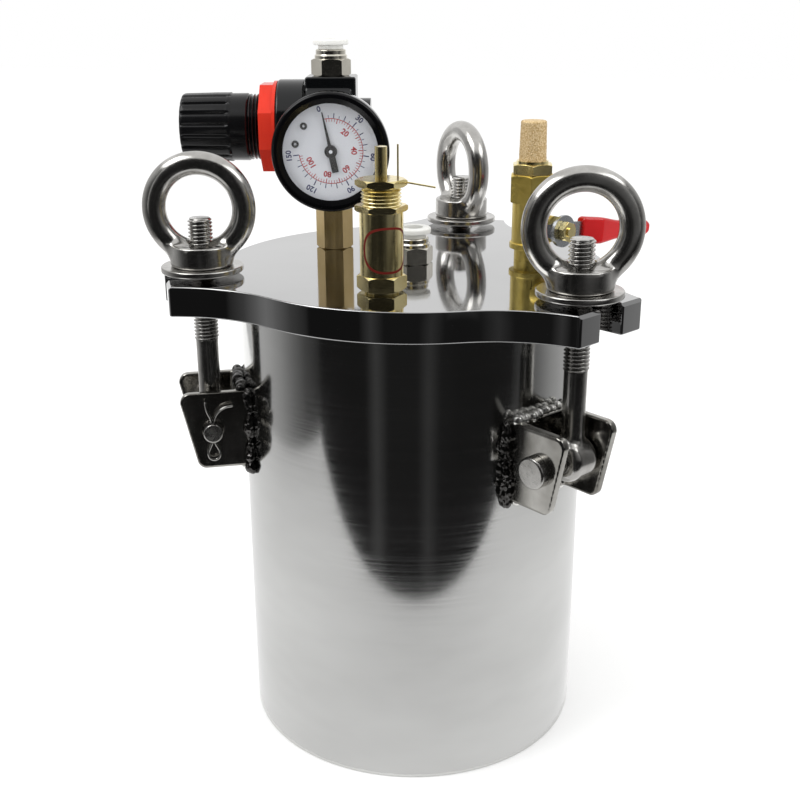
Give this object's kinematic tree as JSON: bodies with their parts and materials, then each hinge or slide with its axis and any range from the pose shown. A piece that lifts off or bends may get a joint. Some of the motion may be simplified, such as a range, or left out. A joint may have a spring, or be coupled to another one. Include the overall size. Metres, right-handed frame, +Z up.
{
  "type": "resin pressure pot",
  "caption": "Steel pressure pot for resin casting: barrel, eared lid on swing bolts with eye nuts, regulator with gauge, relief valve, push-in fittings and ball valve.",
  "frame": {"origin": "centre of the barrel's flat base, on the surface it stands on", "axes": "+Z up along the barrel's axis, +Y towards the back ear of the lid, +X to the right"},
  "size_m": [0.2049, 0.1864, 0.2926],
  "materials": {
    "polished_stainless": "mirror polished",
    "stainless": "polished",
    "weld_metal": "as welded",
    "fastener_steel": "polished",
    "spring_steel": "plain",
    "gasket_silicone": "satin",
    "bronze_brass": "machined",
    "black_casting": "satin",
    "black_plastic": "satin",
    "red_plastic": "gloss",
    "red_vinyl": "gloss dipped",
    "black_rubber": "matt",
    "yellow_brass": "machined",
    "matt_brass": "satin",
    "nickel_brass": "nickel plated",
    "white_collet": "satin",
    "chromed_steel": "polished",
    "dial_white": "matt with a printed scale",
    "clear_lens": "clear",
    "plated_steel": "zinc plated",
    "sintered_bronze": "sintered"
  },
  "bodies": {
    "pot": {"barrel_shell": "polished_stainless", "bottom_plate": "polished_stainless", "bracket_left": "stainless", "bracket_right": "stainless", "bracket_back": "stainless", "bracket_welds": "weld_metal", "hinge_pins": "stainless", "cotter_pins": "fastener_steel"},
    "lid": {"lid_plate": "polished_stainless", "lid_gasket": "gasket_silicone", "riser_pipe": "bronze_brass", "regulator_body": "black_casting", "regulator_bonnet": "black_casting", "panel_nut": "red_plastic", "regulator_spring": "spring_steel", "diaphragm": "black_rubber", "valve_plug": "black_casting", "valve_poppet": "yellow_brass", "inlet_fitting": "nickel_brass", "gauge_case": "chromed_steel", "gauge_bezel": "black_plastic", "gauge_dial": "dial_white", "gauge_lens": "clear_lens", "gauge_stem": "yellow_brass", "bourdon_tube": "yellow_brass", "relief_body": "yellow_brass", "relief_lock_nut": "yellow_brass", "relief_cap": "yellow_brass", "relief_spring": "spring_steel", "seal_wire": "yellow_brass", "outlet_fitting": "nickel_brass", "valve_body": "matt_brass", "valve_end": "matt_brass", "ball_seats": "white_collet", "packing_nut": "nickel_brass", "muffler_body": "yellow_brass", "muffler_element": "sintered_bronze"},
    "bolt_left": {"swing_bolt_left": "fastener_steel"},
    "washer_left": {"washer_left": "fastener_steel"},
    "nut_left": {"eye_nut_left": "fastener_steel"},
    "bolt_right": {"swing_bolt_right": "fastener_steel"},
    "washer_right": {"washer_right": "fastener_steel"},
    "nut_right": {"eye_nut_right": "fastener_steel"},
    "bolt_back": {"swing_bolt_back": "fastener_steel"},
    "washer_back": {"washer_back": "fastener_steel"},
    "nut_back": {"eye_nut_back": "fastener_steel"},
    "screw": {"adjusting_screw": "fastener_steel"},
    "knob": {"regulator_knob": "black_plastic"},
    "seat": {"spring_seat": "fastener_steel"},
    "needle": {"gauge_needle": "black_plastic"},
    "inlet_ring": {"inlet_collet": "white_collet"},
    "outlet_ring": {"outlet_collet": "white_collet"},
    "relief_pin": {"relief_stem": "yellow_brass"},
    "lever": {"valve_ball": "nickel_brass", "valve_stem": "yellow_brass", "valve_lever": "plated_steel", "lever_sleeve": "red_vinyl", "lever_nut": "fastener_steel"}
  },
  "joints": [
    {"name": "lid_lift", "type": "slide", "parent": "pot", "child": "lid", "axis": [0, 0, 1], "range_m": [0, 0.0015]},
    {"name": "bolt_swing_left", "type": "hinge", "parent": "pot", "child": "bolt_left", "pos_m": [-0.07782, -0.04, 0.141], "axis": [0.4571, -0.8894, 0], "range_deg": [0, 165]},
    {"name": "bolt_swing_right", "type": "hinge", "parent": "pot", "child": "bolt_right", "pos_m": [0.07355, -0.0474, 0.141], "axis": [0.5417, 0.8406, 0], "range_deg": [0, 165]},
    {"name": "bolt_swing_back", "type": "hinge", "parent": "pot", "child": "bolt_back", "pos_m": [0.00427, 0.0874, 0.141], "axis": [-0.9988, 0.0489, 0], "range_deg": [0, 165]},
    {"name": "washer_travel_left", "type": "slide", "parent": "bolt_left", "child": "washer_left", "axis": [0, 0, 1], "range_m": [-0.00151, 0.00751]},
    {"name": "washer_travel_right", "type": "slide", "parent": "bolt_right", "child": "washer_right", "axis": [0, 0, 1], "range_m": [-0.00151, 0.00751]},
    {"name": "washer_travel_back", "type": "slide", "parent": "bolt_back", "child": "washer_back", "axis": [0, 0, 1], "range_m": [-0.00151, 0.00751]},
    {"name": "nut_turn_left", "type": "hinge", "parent": "washer_left", "child": "nut_left", "pos_m": [-0.07578, -0.04375, 0.2081], "axis": [0, 0, 1], "range_deg": [-360, 1800]},
    {"name": "nut_turn_right", "type": "hinge", "parent": "washer_right", "child": "nut_right", "pos_m": [0.07578, -0.04375, 0.2081], "axis": [0, 0, 1], "range_deg": [-360, 1800]},
    {"name": "nut_turn_back", "type": "hinge", "parent": "washer_back", "child": "nut_back", "pos_m": [0, 0.0875, 0.2081], "axis": [0, 0, 1], "range_deg": [-360, 1800]},
    {"name": "screw_turn", "type": "hinge", "parent": "lid", "child": "screw", "pos_m": [-0.042, 0.021, 0.2563], "axis": [0.9636, 0.2672, 0], "range_deg": [0, 1800]},
    {"name": "knob_lock", "type": "slide", "parent": "screw", "child": "knob", "axis": [-0.9636, -0.2672, 0], "range_m": [0, 0.0025]},
    {"name": "seat_travel", "type": "slide", "parent": "lid", "child": "seat", "axis": [0.9636, 0.2672, 0], "range_m": [0, 0.00501], "deforming": ["regulator_spring"]},
    {"name": "needle_turn", "type": "hinge", "parent": "lid", "child": "needle", "pos_m": [-0.03246, -0.00852, 0.2498], "axis": [-0.2672, 0.9636, 0], "range_deg": [0, 270], "stiffness_Nm_per_rad": 0.0002},
    {"name": "inlet_release", "type": "slide", "parent": "lid", "child": "inlet_ring", "axis": [0, 0, -1], "range_m": [0, 0.0012], "stiffness_N_per_m": 400},
    {"name": "outlet_release", "type": "slide", "parent": "lid", "child": "outlet_ring", "axis": [0, 0, -1], "range_m": [0, 0.0012], "stiffness_N_per_m": 400},
    {"name": "relief_lift", "type": "slide", "parent": "lid", "child": "relief_pin", "axis": [0, 0, 1], "range_m": [0, 0.003], "stiffness_N_per_m": 1200, "springref_m": -0.004, "deforming": ["relief_spring"]},
    {"name": "lever_turn", "type": "hinge", "parent": "lid", "child": "lever", "pos_m": [0.04561, 0.0205, 0.2182], "axis": [0.848, -0.5299, 0], "range_deg": [0, 90]}
  ],
  "couplings": [
    {"joint": "washer_travel_left", "follows": "nut_turn_left", "m_per_rad": 0.00023873},
    {"joint": "washer_travel_right", "follows": "nut_turn_right", "m_per_rad": 0.00023873},
    {"joint": "washer_travel_back", "follows": "nut_turn_back", "m_per_rad": 0.00023873},
    {"joint": "seat_travel", "follows": "screw_turn", "m_per_rad": 0.00015915}
  ]
}
